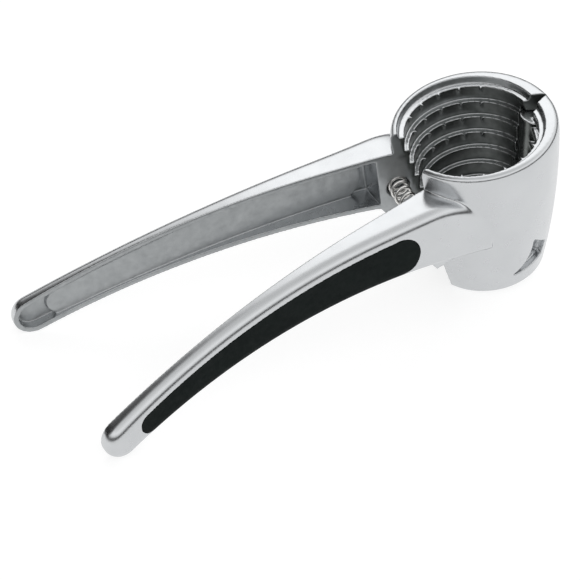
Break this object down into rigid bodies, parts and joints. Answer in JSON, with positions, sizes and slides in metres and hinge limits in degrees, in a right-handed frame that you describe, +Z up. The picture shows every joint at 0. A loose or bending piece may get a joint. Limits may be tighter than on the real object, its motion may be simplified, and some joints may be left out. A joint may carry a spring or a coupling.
{
  "type": "lever nutcracker press",
  "caption": "Hand nutcracker: two cast levers hinged at a stepped, toothed cup, with soft grip inlays and a spring that opens them.",
  "frame": {"origin": "on the surface it rests on, under the middle of the whole press", "axes": "+Z up along the hinge pin, -X from the hinge towards the handle tips, +Y towards the far lever"},
  "size_m": [0.1804, 0.0774, 0.064],
  "materials": {
    "cast_body": "satin cast",
    "soft_grip": "matte",
    "steel": "drawn wire and turned pin"
  },
  "bodies": {
    "near_side": {"near_lever": "cast_body", "near_grip_inlay": "soft_grip", "hinge_pin": "steel", "opening_spring": "steel"},
    "far_side": {"far_lever": "cast_body", "far_grip_inlay": "soft_grip"}
  },
  "joints": [
    {"name": "lever_hinge", "type": "hinge", "parent": "near_side", "child": "far_side", "pos_m": [0.08553, 0, 0.00515], "axis": [0, 0, 1], "range_deg": [0, 20], "stiffness_Nm_per_rad": 0.7, "springref_deg": -11.46, "deforming": ["opening_spring"]}
  ]
}
